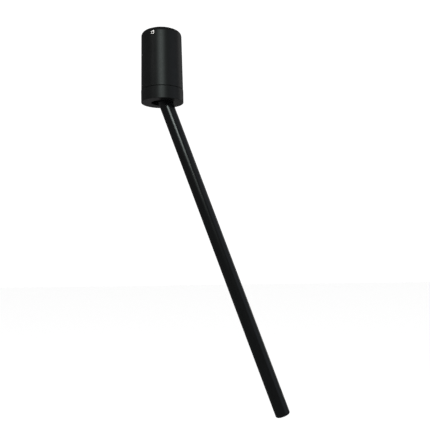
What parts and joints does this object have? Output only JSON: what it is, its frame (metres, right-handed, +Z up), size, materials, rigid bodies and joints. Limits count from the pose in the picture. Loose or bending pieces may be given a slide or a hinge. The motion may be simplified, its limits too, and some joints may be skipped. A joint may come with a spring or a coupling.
{
  "type": "adjustable ceiling tube light",
  "caption": "Slim tube light for a ceiling or pergola: round canopy with a swivelling lower collar and a long tube that tilts in its opening, lamp in the far end.",
  "frame": {"origin": "centre of the ceiling face, where the canopy meets the ceiling", "axes": "+Z up into the ceiling along the canopy's axis; the tube hangs in -Z and leans towards +X; the tilt pivot runs along Y"},
  "size_m": [0.2058, 0.0624, 0.561],
  "materials": {
    "satin_black": "satin black powder coat",
    "gloss_black_tube": "semi-gloss black anodised",
    "stainless": "bright stainless",
    "zinc_steel": "zinc plated steel",
    "aluminium": "turned",
    "rubber": "matt",
    "white_plastic": "matt",
    "black_plastic": "fine grain",
    "acetal": "smooth",
    "fibre": "pressed fibre",
    "cable_jacket": "smooth rubber",
    "earth_lead": "green with a yellow stripe",
    "mains_lead": "brown",
    "circuit_board": "solder mask",
    "board_white": "white solder mask",
    "winding": "enamelled winding on a ferrite core",
    "capacitor_sleeve": "dark sleeve",
    "phosphor": "phosphor",
    "clear": "polished",
    "brass": "bare"
  },
  "bodies": {
    "canopy": {"ceiling_gasket": "rubber", "mounting_plate": "zinc_steel", "inlet_grommet": "rubber", "earth_screw": "brass", "earth_lug": "brass", "earth_lead": "earth_lead", "canopy_body": "satin_black", "canopy_grub_screws": "stainless", "driver_bracket": "zinc_steel", "bracket_screws": "zinc_steel", "driver_screws": "zinc_steel", "driver_case": "white_plastic", "driver_lid": "white_plastic", "driver_lid_screws": "zinc_steel", "driver_board": "circuit_board", "driver_transformer": "winding", "driver_capacitor": "capacitor_sleeve", "terminal_block": "white_plastic", "terminal_screws": "brass", "driver_input_leads": "mains_lead", "driver_output_cable": "cable_jacket", "cable_grommet": "rubber", "swivel_bush": "acetal", "swivel_seal": "rubber", "swivel_stop_pin": "stainless"},
    "swivel": {"yoke": "aluminium", "thrust_washer": "acetal", "spring_washer": "stainless", "stem_nut": "zinc_steel", "swivel_collar": "satin_black", "collar_screws": "stainless", "stem_cable": "cable_jacket", "pivot_screws": "stainless", "friction_washers": "fibre"},
    "tube": {"knuckle": "satin_black", "lock_screws": "stainless", "knuckle_grommet": "rubber", "light_tube": "gloss_black_tube", "tube_cable": "cable_jacket", "heat_sink": "aluminium", "led_board": "board_white", "board_screws": "stainless", "led_chip": "phosphor", "lens_holder": "black_plastic", "lens": "clear", "front_glass": "clear", "glass_seal": "rubber", "end_bezel": "gloss_black_tube"}
  },
  "joints": [
    {"name": "collar_swivel", "type": "hinge", "parent": "canopy", "child": "swivel", "pos_m": [0, 0, -0.093], "axis": [0, 0, 1], "range_deg": [-168, 168]},
    {"name": "tube_tilt", "type": "hinge", "parent": "swivel", "child": "tube", "pos_m": [0, 0, -0.093], "axis": [0, 1, 0], "range_deg": [0, 39.2]}
  ]
}
